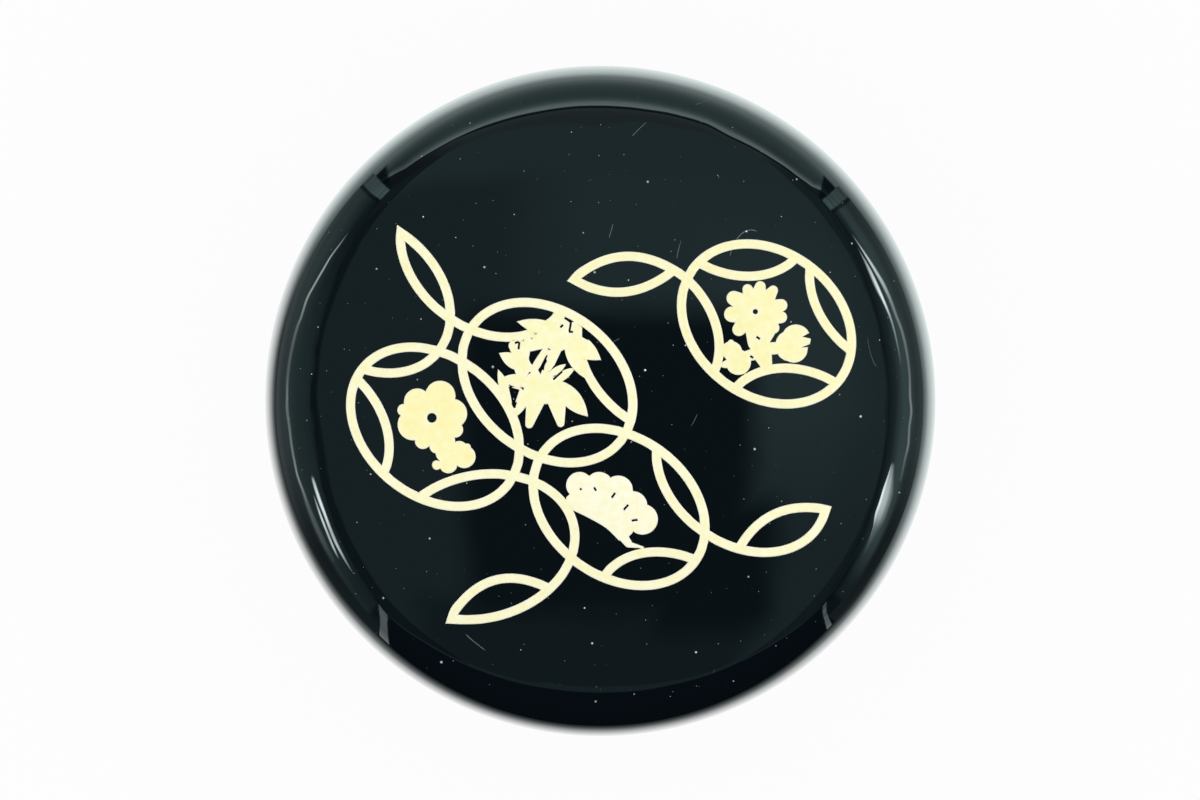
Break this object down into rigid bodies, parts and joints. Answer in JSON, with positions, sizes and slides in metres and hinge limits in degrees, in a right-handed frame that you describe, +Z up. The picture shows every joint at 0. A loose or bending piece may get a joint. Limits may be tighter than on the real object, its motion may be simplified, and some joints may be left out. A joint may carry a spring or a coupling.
{
  "type": "lacquer tea caddy",
  "caption": "Round black lacquer tea caddy with a domed lid that lifts off the body's neck; raised gold rings, blossoms and leaves on the lid.",
  "frame": {"origin": "centre of the foot ring, on the surface that the caddy stands on", "axes": "+Z up along the turning axis, +Y towards the top of the lid's ornament as the picture shows it, +X to its right"},
  "size_m": [0.0664, 0.0664, 0.0676],
  "materials": {
    "lacquer": "mirror-gloss black lacquer on turned wood",
    "gold": "satin raised gold"
  },
  "bodies": {
    "caddy_body": {"body": "lacquer"},
    "caddy_lid": {"lid": "lacquer", "gold_linked_rings": "gold", "gold_single_ring": "gold", "gold_plum": "gold", "gold_bamboo": "gold", "gold_pine": "gold", "gold_chrysanthemum": "gold"}
  },
  "joints": [
    {"name": "lid_lift", "type": "slide", "parent": "caddy_body", "child": "caddy_lid", "axis": [0, 0, 1], "range_m": [0, 0.08]}
  ]
}
